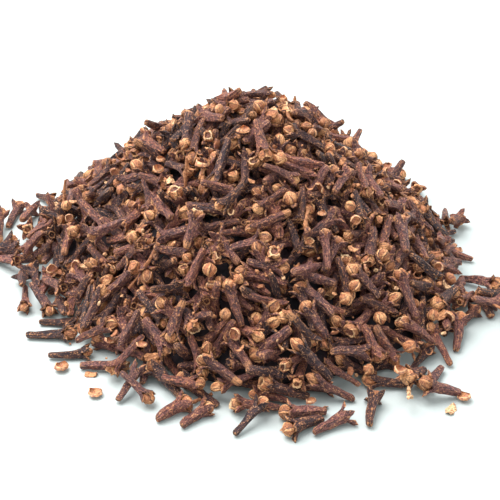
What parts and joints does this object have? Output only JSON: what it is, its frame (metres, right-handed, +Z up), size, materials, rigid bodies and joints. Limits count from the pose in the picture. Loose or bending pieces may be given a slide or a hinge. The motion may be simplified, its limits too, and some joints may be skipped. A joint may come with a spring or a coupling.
{
  "type": "heap of whole cloves",
  "caption": "Poured heap of dried whole cloves lying on a flat surface: a low round mound with an uneven hem, its outer pieces shown at true size.",
  "frame": {"origin": "on the surface that the heap lies on, under the middle of the heap", "axes": "+Z up, +X to the right and +Y away from the viewer as the picture shows the heap"},
  "size_m": [0.172, 0.1785, 0.0591],
  "materials": {
    "clove": "matte, dry, finely wrinkled"
  },
  "bodies": {
    "root": {"clove_heap": "clove"}
  },
  "joints": []
}
